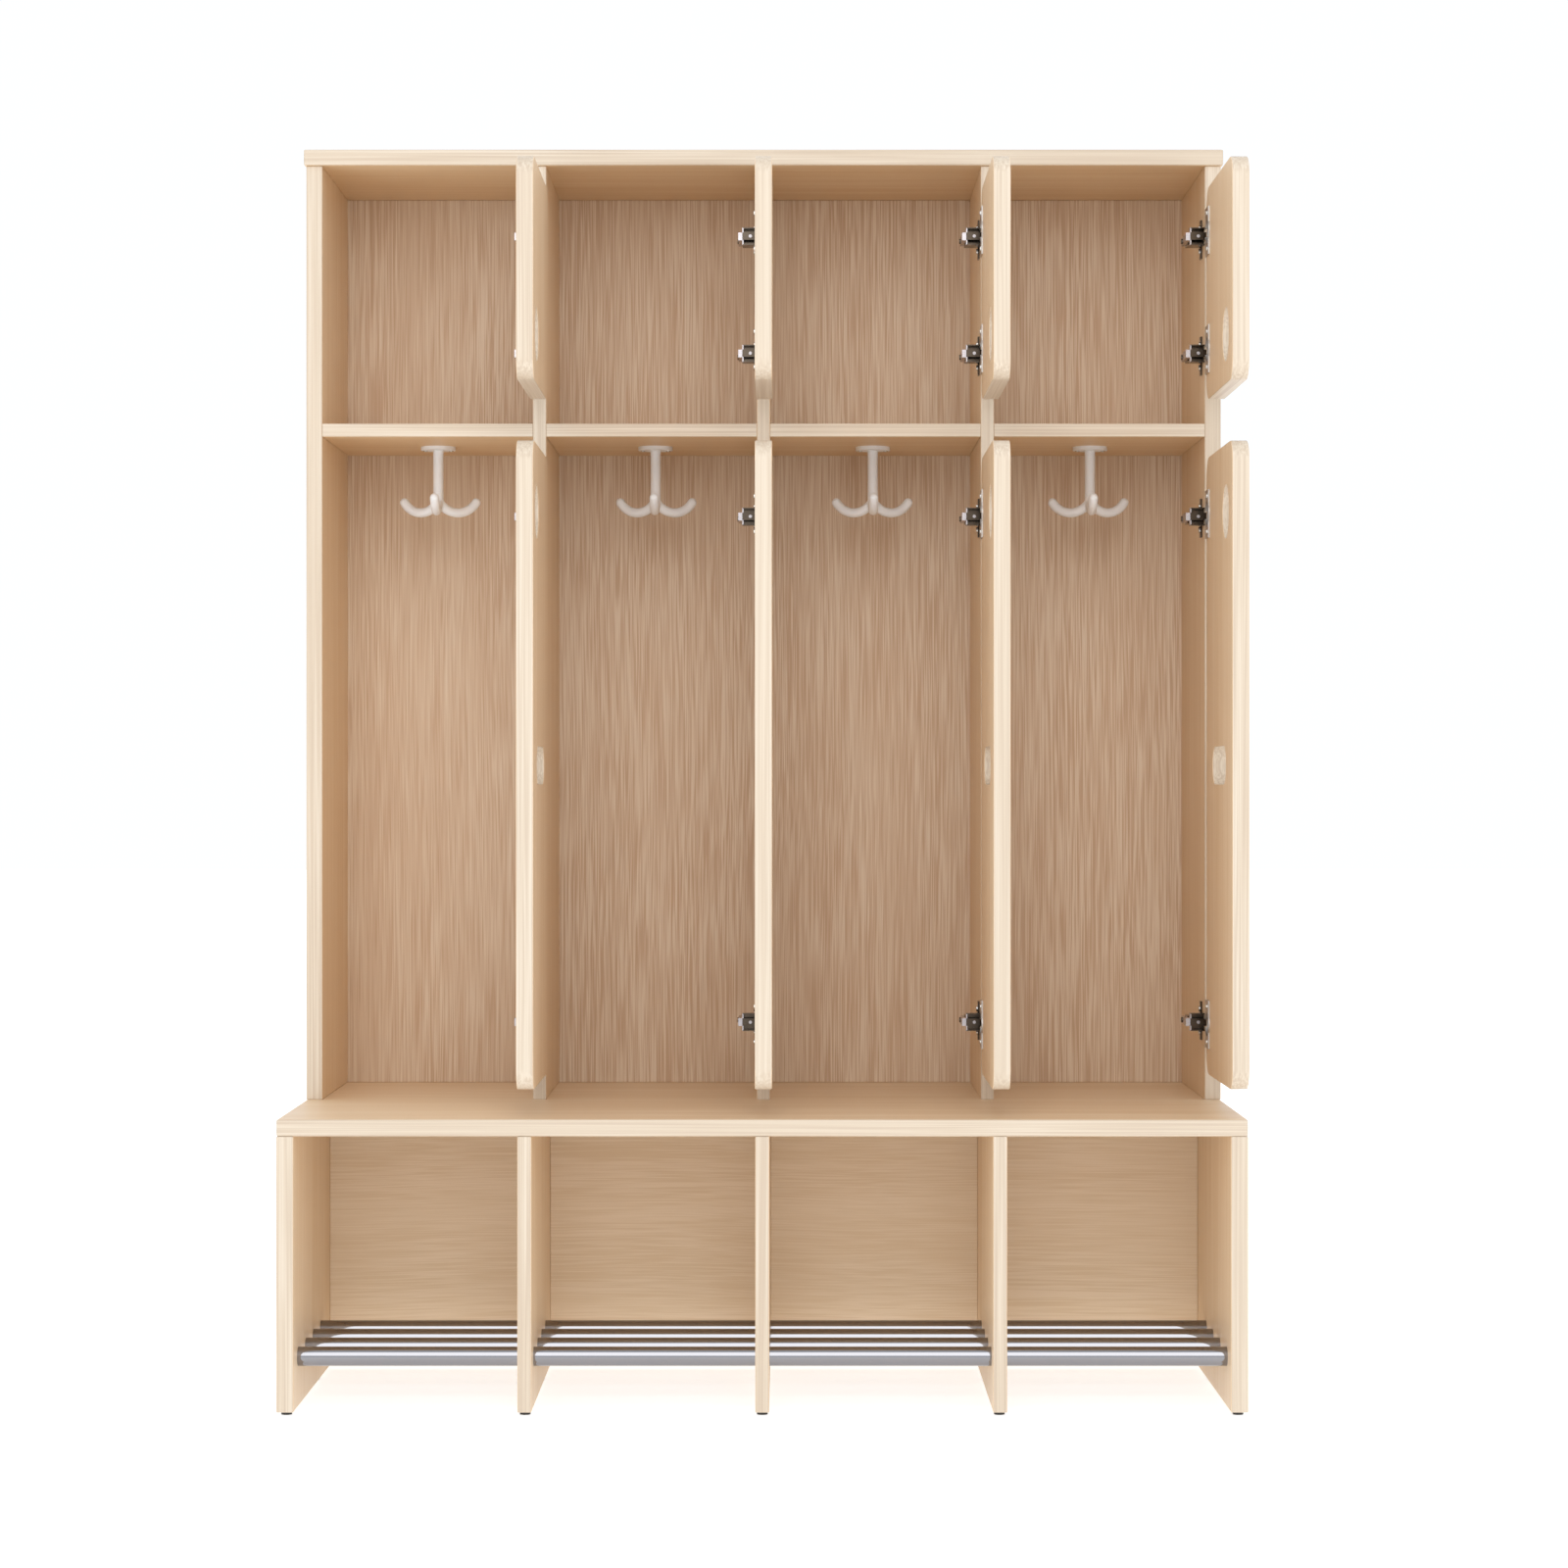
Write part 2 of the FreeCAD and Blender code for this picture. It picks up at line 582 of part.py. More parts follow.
def door(kind, bay):
    """A door of one bay, standing open, with its hinge cups and their screws."""
    bottom, height, levels = door_kinds[kind]
    name = f"{kind}_{bay + 1}"
    body = doc.addObject("PartDesign::Body", name)
    outline = new_sketch(body, f"{name}_outline")
    draw_rectangle(outline, DOOR_WIDTH, height)
    blank = pad(body, outline, "DoorThickness")
    doc.recompute()
    spans = [edge.BoundBox for edge in blank.Shape.Edges]
    corners = [f"Edge{index}" for index, span in enumerate(spans, 1)
               if span.XLength > span.YLength + span.ZLength]
    rounding = body.newObject("PartDesign::Fillet", f"{name}_corners")
    rounding.Base = (blank, corners)
    bind(rounding, "Radius", "DoorCornerRadius")
    openings = new_sketch(body, f"{name}_openings")
    if kind == "upper_door":
        draw_circle(openings, "finger", "FingerHoleRadius", "FingerHoleInset", "UpperFingerHoleRise")
    else:
        draw_circle(openings, "finger", "FingerHoleRadius", "FingerHoleInset",
                    f"({height} - TallFingerHoleDrop)")
        draw_slot(openings, "SlotLength", "SlotHeight", f"{DOOR_WIDTH} / 2", f"{height} / 2")
    pocket(body, openings, "DoorThickness + Overrun")
    cups = new_sketch(body, f"{name}_cups")
    holes = new_sketch(body, f"{name}_screw_holes")
    for index, level in enumerate(levels):
        draw_circle(cups, f"cup{index}", "CupRadius", f"({DOOR_WIDTH} - CupSet)", level)
        for end, sign in (("low", "-"), ("high", "+")):
            draw_circle(holes, f"screw{index}{end}", "(CupScrewRadius + ScrewFit)",
                        f"({DOOR_WIDTH} - CupSet)", f"({level} {sign} CupScrewSpread / 2)")
    pocket(body, cups, "CupDepth")
    pocket(body, holes, "CupScrewDepth + ScrewFit")
    place(body, (f"{bay_right(bay)} + {OPEN_FACE_X}", f"{OPEN_EDGE_Y} - {DOOR_WIDTH}", bottom))
    node(name, body)

    heights = [f"({bottom} + {level})" for level in levels]
    face = f"({bay_right(bay)} + {OPEN_FACE_X})"
    node(f"hinge_cups_{name}", copies(f"hinge_cups_{name}", cup_master,
                                      [((face, OPEN_EDGE_Y, z), "z") for z in heights]))
    spots = []
    for z in heights:
        for end in ("-", "+"):
            spots.append(((f"{face} - FlangeThickness", f"{OPEN_EDGE_Y} - CupSet",
                           f"{z} {end} CupScrewSpread / 2"), "x"))
    node(f"cup_screws_{name}", copies(f"cup_screws_{name}", cup_screw, spots))


for bay in range(BAYS):
    for kind in door_kinds:
        door(kind, bay)


# Coat hooks: a flange screwed under the shelf holds the head of a hook that turns

def hook_flange():
    disc = cylinder("hook_disc", "HookFlangeRadius", "HookFlangeHeight", ("0", "0", "-HookFlangeHeight"))
    bores = [
        cylinder("hook_socket", "HookHeadRadius + HookFit", "HookHeadHeight + 2 * HookFit + Overrun",
                 ("0", "0", "-HookHeadHeight - 2 * HookFit")),
        cylinder("hook_throat", "HookPostRadius + HookFit", "HookFlangeHeight + 2 * Overrun",
                 ("0", "0", "-HookFlangeHeight - Overrun")),
    ]
    for end in ("-", "+"):
        bores.append(cylinder("hook_screw_bore", "HookScrewRadius + ScrewFit",
                              "HookFlangeHeight + 2 * Overrun",
                              (f"{end}HookScrewSpread / 2", "0", "-HookFlangeHeight - Overrun")))
    return cut("hook_flange_master", disc, group("hook_bores", bores))


def around(body, feature, profile):
    """Repeats a feature of a hook around the post for each of its arms."""
    doc.recompute()
    pattern = body.newObject("PartDesign::PolarPattern", f"{feature.Label}_pattern")
    pattern.Originals = [feature]
    pattern.Axis = (profile, ["V_Axis"])
    pattern.Angle = 360
    pattern.Occurrences = HOOK_ARMS
    body.Tip = pattern
    doc.recompute()


def coat_hook(bay):
    """Turning hook: a post with a head, and arms that each sag in one round bend."""
    name = f"coat_hook_{bay + 1}"
    body = doc.addObject("PartDesign::Body", name)
    profile = new_sketch(body, f"{name}_post", "XZ_Plane")
    head = "(-HookFit)"
    neck = "(-HookFit - HookHeadHeight)"
    foot_drop = "(HookDrop + HookArmRadius / 2 - HookArmSag)"
    foot = f"(-{foot_drop})"
    corners = [("0", head), ("HookHeadRadius", head), ("HookHeadRadius", neck),
               ("HookPostRadius", neck), ("HookPostRadius", foot), ("0", foot)]
    count = len(corners)
    for index, corner in enumerate(corners):
        profile.addGeometry(Part.LineSegment(point(*corner), point(*corners[(index + 1) % count])))
    for index in range(count):
        profile.addConstraint(Sketcher.Constraint("Coincident", index, 2, (index + 1) % count, 1))
        profile.addConstraint(Sketcher.Constraint("Vertical" if index % 2 else "Horizontal", index))
    profile.addConstraint(Sketcher.Constraint("PointOnObject", 0, 1, -2))
    constrain(profile, "head_radius", "HookHeadRadius", "DistanceX", 0, 1, 0, 2, value("HookHeadRadius"))
    constrain(profile, "post_radius", "HookPostRadius", "DistanceX", 4, 2, 4, 1, value("HookPostRadius"))
    constrain(profile, "head_drop", "HookFit", "DistanceY", 0, 1, -1, 1, value("HookFit"))
    constrain(profile, "head_height", "HookHeadHeight", "DistanceY", 1, 2, 1, 1, value("HookHeadHeight"))
    constrain(profile, "foot_drop", foot_drop, "DistanceY", 4, 2, -1, 1, value(foot_drop))
    post = body.newObject("PartDesign::Revolution", f"{name}_turned_post")
    post.Profile = profile
    post.ReferenceAxis = (profile, ["V_Axis"])
    post.Angle = 360

    bend = "((HookArmMiddle ^ 2 + HookArmSag ^ 2) / (2 * HookArmSag))"
    section = new_sketch(body, f"{name}_section", "XZ_Plane")
    bind(section, "AttachmentOffset.Base.y", f"{bend} - HookDrop")
    bind(section, "AttachmentOffset.Base.z", "HookArmMiddle")
    draw_circle(section, "arm", "HookArmRadius", "0", f"(-{bend})")
    arm = body.newObject("PartDesign::Revolution", f"{name}_arm")
    arm.Profile = section
    arm.ReferenceAxis = (section, ["H_Axis"])
    arm.Midplane = True
    bind(arm, "Angle", "4 * atan(HookArmSag / HookArmMiddle)")
    around(body, arm, profile)
    ball = body.newObject("PartDesign::AdditiveSphere", f"{name}_tip")
    bind(ball, "Radius", "HookArmRadius")
    place(ball, ("0", "-2 * HookArmMiddle", "HookArmSag - HookDrop"))
    around(body, ball, profile)
    place(body, (hook_places[bay], "HookSet", SHELF_Z))
    node(name, body)


flange_master = hook_flange()
node("hook_flanges", copies("hook_flanges", flange_master,
                            [((x, "HookSet", SHELF_Z), "z") for x in hook_places]))
for bay in range(BAYS):
    coat_hook(bay)

doc.recompute()

# Checks, then one file for each sub-part
for item in doc.Objects:
    if "Invalid" in item.State or "Error" in item.State:
        raise RuntimeError(f"{item.Label} did not compute: {item.State}")
os.makedirs("parts", exist_ok=True)
for name, item in nodes.items():
    shape = item.Shape
    if shape.isNull() or not shape.isValid() or not shape.Solids:
        raise RuntimeError(f"{name} has no valid solid")
    shape.exportStep(f"parts/{name}.step")
print(len(nodes), "sub-parts")
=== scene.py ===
# %% [markdown]
# # A cloakroom bench
#
# This lesson dresses the CAD model of a cloakroom bench: a shoe rack, a seat and a row of
# lockers. The CAD model is loaded as a fixed frame, and every length below is in metres in that
# frame. A CAD piece whose shape is right keeps its solid and only gets a finish. Boards and doors
# get new meshes with slightly rounded edges, because real edge bands are never perfectly sharp,
# and the hooks get softer creases.

# %% Load the frame
import math

import bmesh
import bpy
from mathutils import Matrix, Vector


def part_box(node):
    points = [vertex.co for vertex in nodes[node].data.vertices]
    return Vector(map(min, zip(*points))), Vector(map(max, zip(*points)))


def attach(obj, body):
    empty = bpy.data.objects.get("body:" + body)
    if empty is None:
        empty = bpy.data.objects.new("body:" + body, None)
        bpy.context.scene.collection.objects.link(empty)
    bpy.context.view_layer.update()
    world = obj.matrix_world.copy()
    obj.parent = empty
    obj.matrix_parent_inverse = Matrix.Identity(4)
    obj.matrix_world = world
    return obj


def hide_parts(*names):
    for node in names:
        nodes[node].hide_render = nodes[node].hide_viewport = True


MM = 0.001
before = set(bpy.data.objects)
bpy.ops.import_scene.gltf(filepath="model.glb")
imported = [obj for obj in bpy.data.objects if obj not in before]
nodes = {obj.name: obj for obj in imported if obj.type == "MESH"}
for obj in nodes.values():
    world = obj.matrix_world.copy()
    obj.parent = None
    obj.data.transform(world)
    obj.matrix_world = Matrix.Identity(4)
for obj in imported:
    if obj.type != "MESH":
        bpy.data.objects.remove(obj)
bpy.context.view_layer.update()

# %% [markdown]
# ## Colours and nodes
#
# Colours are noted as sRGB hex values, the way a paint card or a picture editor gives them, and
# one function turns them into the linear values that Blender's shaders work with. One more small
# function adds a shader node, sets its sockets and properties and links its inputs, so that each
# finish below reads as a short list of steps.

# %% Helpers for finishes


def colour(hex_value):
    """Linear colour of an sRGB hex value."""
    parts = [int(hex_value[i:i + 2], 16) / 255 for i in (1, 3, 5)]
    linear = [c / 12.92 if c <= 0.04045 else ((c + 0.055) / 1.055) ** 2.4 for c in parts]
    return (*linear, 1.0)


def add(tree, kind, settings=None, **inputs):
    """Adds a node, sets its properties, and sets or links its inputs by name."""
    made = tree.nodes.new(kind)
    for name, setting in (settings or {}).items():
        setattr(made, name, setting)
    for name, given in inputs.items():
        socket = made.inputs[int(name[1:]) if name[0] == "_" else name.replace("_", " ")]
        if isinstance(given, bpy.types.NodeSocket):
            tree.links.new(given, socket)
        else:
            socket.default_value = given
    return made


def new_finish(name):
    """A new material and its node tree, still empty."""
    material = bpy.data.materials.new(name)
    material.use_nodes = True
    material.node_tree.nodes.clear()
    return material, material.node_tree


def shades(tree, factor, stops):
    """Colour ramp from a list of (place, hex value)."""
    ramp = add(tree, "ShaderNodeValToRGB", Fac=factor)
    elements = ramp.color_ramp.elements
    while len(elements) < len(stops):
        elements.new(0.5)  # only a seat for now, placed below
    for element, (place, hex_value) in zip(elements, stops):
        element.position = place
        element.color = colour(hex_value)
    return ramp.outputs["Color"]


# %% [markdown]
# ## Wood-grain laminate
#
# The boards are chipboard under melamine-faced decor paper: printed wood grain, pressed smooth,
# with a silky sheen. An image of real grain would be the quick way, but a pattern from noise
# needs no file and can be stretched along any board. Three layers make the grain: fine fibres,
# broader streaks, and slow drifts in tone. Noise stretched along the grain gives all three. Each
# layer's scale is one over the width across the grain and over the length along it. Real fibres
# are finer than a millimetre. A picture of the whole bench has less than a pixel for that, so
# they are drawn about two millimetres wide, as coarse as they need to show. A fourth, slow noise
# lets the fibres fade in some zones and stand out in others, as they do where a saw has met the
# year rings at another angle.

# %% Grain as a material
LENGTHWAYS = {"x": 0, "y": 1, "z": 2}
LAYER_DETAIL = (1.0, 2.0, 1.0)  # octaves of noise in fibres, streaks and drifts
NOISE_MIDDLE = 0.5
WANDER_WIDTHS = 2  # how far the grain wanders sideways, in widths of a streak
ZONE_WIDTHS = 2  # width of a zone, in widths of a drift
ZONE_RANGE = (0.3, 0.7)  # values of the slow noise between which fibres go from faint to strong
ZONE_STRENGTH = (0.55, 1.45)  # strength of faint and strong fibres, as shares of the usual one
SHEEN_SPREAD = 0.06  # light fibres are smoother and dark ones rougher by this much
GRAIN_RELIEF = 0.05 * MM
GRAIN_STRENGTH = 0.25
LAMINATE_IOR = 1.5


def grain_layer(tree, place, along, width, length, detail):
    """Noise stretched along one axis, from the width and length of its streaks."""
    scale = [1 / width] * 3
    scale[LENGTHWAYS[along]] = 1 / length
    stretched = add(tree, "ShaderNodeVectorMath", {"operation": "MULTIPLY"}, _0=place, _1=scale)
    noise = add(tree, "ShaderNodeTexNoise", Vector=stretched.outputs[0], Scale=1.0, Detail=detail)
    return noise.outputs["Fac"]


def wood_decor(name, along, stops, fibre, streak, drift, shares, roughness):
    """Printed grain, from each layer's (width, length) in metres and the layers' strengths."""
    material, tree = new_finish(name)
    place = add(tree, "ShaderNodeTexCoord").outputs["Object"]
    wander = add(tree, "ShaderNodeTexNoise", Vector=place, Scale=1 / drift[1], Detail=1.0)
    bent = add(tree, "ShaderNodeVectorMath", {"operation": "MULTIPLY_ADD"},
               _0=wander.outputs["Color"], _1=[WANDER_WIDTHS * streak[0]] * 3, _2=place).outputs[0]
    zones = grain_layer(tree, place, along, ZONE_WIDTHS * drift[0], drift[1], 0.0)
    strength = add(tree, "ShaderNodeMapRange", Value=zones,
                   From_Min=ZONE_RANGE[0], From_Max=ZONE_RANGE[1],
                   To_Min=ZONE_STRENGTH[0] * shares[0], To_Max=ZONE_STRENGTH[1] * shares[0])
    strengths = (strength.outputs[0], *shares[1:])
    total = NOISE_MIDDLE
    for (width, length), share, detail in zip((fibre, streak, drift), strengths, LAYER_DETAIL):
        layer = grain_layer(tree, bent, along, width, length, detail)
        swing = add(tree, "ShaderNodeMath", {"operation": "SUBTRACT"}, _0=layer, _1=NOISE_MIDDLE)
        total = add(tree, "ShaderNodeMath", {"operation": "MULTIPLY_ADD"},
                    _0=swing.outputs[0], _1=share, _2=total).outputs[0]
    tone = shades(tree, total, stops)
    sheen = add(tree, "ShaderNodeMapRange", Value=total,
                To_Min=roughness + SHEEN_SPREAD, To_Max=roughness - SHEEN_SPREAD)
    relief = add(tree, "ShaderNodeBump", Height=total,
                 Strength=GRAIN_STRENGTH, Distance=GRAIN_RELIEF)
    shader = add(tree, "ShaderNodeBsdfPrincipled", Base_Color=tone, Roughness=sheen.outputs[0],
                 Normal=relief.outputs[0], IOR=LAMINATE_IOR)
    add(tree, "ShaderNodeOutputMaterial", Surface=shader.outputs[0])
    return material


# %% [markdown]
# ## The five wood finishes
#
# The faces are pale maple decor. Under the top and the shelves they take the same decor a tone
# deeper and warmer, which is painted shade for faces that look down, away from the light. The edge
# bands are a cream ABS strip with fine lines along it, and they look lighter than the faces beside
# them because they face the light. The back of the lockers is a thin board with a browner ash
# decor, whose crisp grain stands upright, and the backs of the shoe bays have a paler decor that
# lies level. One finish could turn with its board, but the noise is laid in the bench's own axes,
# so that a joint between boards never repeats, and each finish is made once for each direction in
# which its boards run.

# %% Wood finishes
MAPLE_GRAIN = {
    "fibre": (2.2 * MM, 200 * MM), "streak": (9 * MM, 520 * MM), "drift": (45 * MM, 900 * MM),
    "shares": (0.35, 0.35, 0.3), "roughness": 0.42,
}
# Melamine-faced maple decor, pressed smooth: a silky face with quiet, low-contrast grain.
maple_face = {
    axis: wood_decor(f"melamine_maple_{axis}", axis,
                     [(0.34, "#dfc29b"), (0.5, "#e6cba9"), (0.66, "#edd6b8")], **MAPLE_GRAIN)
    for axis in "xz"
}
# The same decor a tone deeper and warmer: painted shade for the undersides that look down.
painted_shade_maple = wood_decor("melamine_maple_painted_shade", "x",
                         [(0.34, "#dab78a"), (0.5, "#e0c097"), (0.66, "#e7cba4")], **MAPLE_GRAIN)
# Extruded ABS band, printed and lacquered: plain cream with fine lines along the edge.
cream_band = {
    axis: wood_decor(f"abs_edge_band_{axis}", axis,
                     [(0.38, "#c6b39d"), (0.5, "#cfbea8"), (0.62, "#d8c9b5")],
                     fibre=(2.2 * MM, 300 * MM), streak=(4.5 * MM, 700 * MM),
                     drift=(30 * MM, 900 * MM), shares=(0.55, 0.35, 0.15), roughness=0.45)
    for axis in "xyz"
}
# Ash decor on thin fibreboard: crisp brown fibres that stand upright, with little sheen.
ash_back = wood_decor("ash_decor_back_board", "z",
                      [(0.36, "#c8a98b"), (0.47, "#d3b89c"), (0.54, "#d8c0a5"), (0.65, "#e1cdb5")],
                      fibre=(1.6 * MM, 110 * MM), streak=(6 * MM, 520 * MM),
                      drift=(60 * MM, 600 * MM), shares=(1.05, 0.22, 0.2), roughness=0.5)
# Pale maple decor on thin fibreboard: short level fibres, and hardly any change in tone.
maple_back = wood_decor("maple_decor_shoe_bay_back", "x",
                        [(0.34, "#e2caa9"), (0.5, "#e7d1b3"), (0.66, "#ecd7bb")],
                        fibre=(1.9 * MM, 100 * MM), streak=(9 * MM, 300 * MM),
                        drift=(40 * MM, 500 * MM), shares=(0.9, 0.3, 0.25), roughness=0.45)
wood_finishes = [*maple_face.values(), painted_shade_maple, *cream_band.values(), ash_back, maple_back]
print("wood finishes", [finish.name for finish in wood_finishes])

# %% [markdown]
# ## Metal and plastic finishes
#
# The shoe rods are chrome-plated steel tube: a mirror with a faint bluish tint and hardly any
# roughness. The hinge arms and plates are nickel-plated pressings, and they and the arm screws
# have a dark warm colour that is a painted reflection of the wood around them, while each arm's
# bar and rivet have a painted highlight. The cups' flanges are cast and plated, with a paler satin
# face.
# Screws are zinc-plated. The hooks are moulded nylon in a plain white, smooth with a soft sheen,
# and the glides under the uprights are black polyethylene. One plain shader for each would do, but
# slow changes in roughness stand for handling marks, and a fine relief stands for the grain that a
# mould leaves.

# %% Metal and plastic
PATCH_DETAIL = 3.0
PATCH_SPREAD = (0.7, 1.3)  # roughness of smooth and rough patches, as shares of the usual one
CLOUD_SIZE = 40 * MM
MOULD_GRAIN = 0.8 * MM  # a real mould's grain is finer, and this is as coarse as it needs to show
MOULD_DETAIL = 2.0
MOULD_RELIEF = 0.04 * MM
MOULD_STRENGTH = 0.15
MOULD_SPREAD = 0.05
PLASTIC_IOR = 1.53


def plated_metal(name, hex_value, roughness, grit):
    """A plated metal whose roughness changes slowly over patches of the size given as grit."""
    material, tree = new_finish(name)
    place = add(tree, "ShaderNodeTexCoord").outputs["Object"]
    patches = add(tree, "ShaderNodeTexNoise", Vector=place, Scale=1 / grit, Detail=PATCH_DETAIL)
    rough = add(tree, "ShaderNodeMapRange", Value=patches.outputs["Fac"],
                To_Min=roughness * PATCH_SPREAD[0], To_Max=roughness * PATCH_SPREAD[1])
    shader = add(tree, "ShaderNodeBsdfPrincipled", Base_Color=colour(hex_value), Metallic=1.0,
                 Roughness=rough.outputs[0])
    add(tree, "ShaderNodeOutputMaterial", Surface=shader.outputs[0])
    return material


def moulded_plastic(name, hex_value, shade_hex, roughness):
    """A moulded plastic with slow tone drift and a very fine moulded grain."""
    material, tree = new_finish(name)
    place = add(tree, "ShaderNodeTexCoord").outputs["Object"]
    clouds = add(tree, "ShaderNodeTexNoise", Vector=place,
                 Scale=1 / CLOUD_SIZE, Detail=MOULD_DETAIL)
    tone = shades(tree, clouds.outputs["Fac"], [(0.35, shade_hex), (0.65, hex_value)])
    pits = add(tree, "ShaderNodeTexNoise", Vector=place,
               Scale=1 / MOULD_GRAIN, Detail=MOULD_DETAIL)
    relief = add(tree, "ShaderNodeBump", Height=pits.outputs["Fac"],
                 Strength=MOULD_STRENGTH, Distance=MOULD_RELIEF)
    rough = add(tree, "ShaderNodeMapRange", Value=pits.outputs["Fac"],
                To_Min=roughness - MOULD_SPREAD, To_Max=roughness + MOULD_SPREAD)
    shader = add(tree, "ShaderNodeBsdfPrincipled", Base_Color=tone, Roughness=rough.outputs[0],
                 Normal=relief.outputs[0], IOR=PLASTIC_IOR)
    add(tree, "ShaderNodeOutputMaterial", Surface=shader.outputs[0])
    return material


# Chrome-plated drawn tube: a mirror that shows the room in long, sharp stripes.
chrome_tube = plated_metal("chrome_plated_tube", "#8f8e91", 0.05, 25 * MM)
# Nickel-plated pressed steel: a blurred mirror whose dark brown is a painted reflection of wood.
nickel_painted_reflection = plated_metal("nickel_painted_wood_reflection", "#51483f", 0.2, 8 * MM)
# The same nickel, much brighter: painted highlights on the arms' bars and rivets.
nickel_painted_highlight = plated_metal("nickel_arm_painted_highlight", "#b3aeb0", 0.26, 8 * MM)
# Die-cast zinc, tumbled and nickel-plated: an even, satin grey.
satin_flange = plated_metal("satin_nickel_flange", "#c3bfba", 0.38, 8 * MM)
# Zinc-plated steel: small pale glints.
zinc_screw = plated_metal("bright_zinc_screw", "#dad9d4", 0.24, 4 * MM)
# Moulded nylon: plain white with a soft, broad sheen.
white_nylon = moulded_plastic("white_nylon", "#f4f6f8", "#eef0f2", 0.5)
# Moulded polyethylene: black and dull.
black_polyethylene = moulded_plastic("black_polyethylene", "#0e0d0c", "#0a0908", 0.55)
hard_finishes = [chrome_tube, nickel_painted_reflection, nickel_painted_highlight, satin_flange, zinc_screw,
                 white_nylon, black_polyethylene]
print("metal and plastic finishes", [finish.name for finish in hard_finishes])

# %% [markdown]
# ## Boards
#
# Every board is a rectangle of sheet material with banded edges. Each is made as a box from its
# CAD node's own corners and gets a small round along all edges, a larger one on the top and the
# seat, which people touch. The material of a face follows from the way it looks: across the
# board's thickness it is a decor face, and anything else is an edge band whose lines run along
# the edge. A weighted-normal modifier keeps the broad faces flat in shading.

# %% Board maker
EDGE_ROUND = 1.2 * MM
SLAB_ROUND = 2.5 * MM
ROUND_SEGMENTS = 3
LOOKS_DOWN = -0.9  # a face whose normal's Z is below this is an underside


def thin_axis(low, high):
    """The axis across a sheet's thickness."""
    spans = high - low
    return min(range(3), key=lambda axis: spans[axis])


def dress_sheet(mesh, thin, face_finish):
    """Gives decor to a sheet's faces and edge band to its edges, by the way each polygon looks."""
    for finish in (face_finish, *cream_band.values()):
        mesh.materials.append(finish)
    for polygon in mesh.polygons:
        polygon.use_smooth = True
        looks = max(range(3), key=lambda axis: abs(polygon.normal[axis]))
        if looks != thin:
            along_edge = sum(range(3)) - thin - looks
            polygon.material_index = 1 + along_edge


def stand_for(piece, node, body):
    """Puts a new piece in the scene in place of a CAD node, on that node's body."""
    bpy.context.scene.collection.objects.link(piece)
    flat = piece.modifiers.new("flat_faces", "WEIGHTED_NORMAL")
    flat.keep_sharp = True
    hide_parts(node)
    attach(piece, body)
    return piece


def board(node, face_finish, rounding=EDGE_ROUND, painted_shade_finish=None):
    """A banded board for a CAD node, with a finish of painted shade underneath if one is given."""
    low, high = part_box(node)
    shape = bmesh.new()
    bmesh.ops.create_cube(shape, size=1.0)
    to_place = Matrix.LocRotScale((low + high) / 2, None, high - low)
    bmesh.ops.transform(shape, verts=shape.verts, matrix=to_place)
    bmesh.ops.bevel(shape, geom=shape.edges[:], offset=rounding, segments=ROUND_SEGMENTS,
                    profile=0.5, affect="EDGES")
    mesh = bpy.data.meshes.new(f"{node}_sheet")
    shape.to_mesh(mesh)
    shape.free()
    dress_sheet(mesh, thin_axis(low, high), face_finish)
    # A finish given for faces that look down is painted shade.
    if painted_shade_finish:
        mesh.materials.append(painted_shade_finish)
        for polygon in mesh.polygons:
            if polygon.normal.z < LOOKS_DOWN:
                polygon.material_index = len(mesh.materials) - 1
    return stand_for(bpy.data.objects.new(f"{node}_sheet", mesh), node, "cabinet")


# %% [markdown]
# ## Laying the boards
#
# Boards are cut along the decor's roll, so the grain runs along their length. It lies along X on
# the top, the seat and the shelves, and it stands upright on the sides and dividers. Boards of
# one kind are found by the start of their node's name, so that a loop can lay them all.

# %% Lay the boards
def named(start):
    """CAD nodes whose names start so, in order."""
    return sorted(node for node in nodes if node.startswith(start))


board("top_panel", maple_face["x"], rounding=SLAB_ROUND, painted_shade_finish=painted_shade_maple)
board("seat_board", maple_face["x"], rounding=SLAB_ROUND)
for node in named("mid_shelf"):
    board(node, maple_face["x"], painted_shade_finish=painted_shade_maple)
for start in ("upper_side", "upper_divider", "base_side", "base_divider"):
    for node in named(start):
        board(node, maple_face["z"])
board("upper_back_panel", ash_back)
for node in named("base_back_panel"):
    board(node, maple_back)

# %% [markdown]
# ## Doors
#
# A door is a board with round corners, a round finger hole and, on the tall doors, a slot for
# air. A filled flat curve suits it best: the outline and the holes are a few Bezier points, and
# the curve's own extrusion and bevel give the thickness and the rounded edges. The holes run the
# other way round than the outline, as the inside of a letter does, so that the bevel grows into
# them.

# %% Door outlines
DOOR_CORNER = 28 * MM
FINGER_HOLE_RADIUS = 35 * MM
FINGER_HOLE_INSET = 74 * MM
UPPER_HOLE_RISE = 65 * MM
TALL_HOLE_DROP = 88 * MM
SLOT_LENGTH = 150 * MM
SLOT_HEIGHT = 50 * MM
ARC_HANDLE_SHARE = 0.5523  # handle length of a quarter circle, as a share of its radius
QUARTERS = [(1, 1), (-1, 1), (-1, -1), (1, -1)]
SAME_PLACE = 1 * MM  # ends of arcs that are closer than this are one point
MERGE_DISTANCE = 0.01 * MM


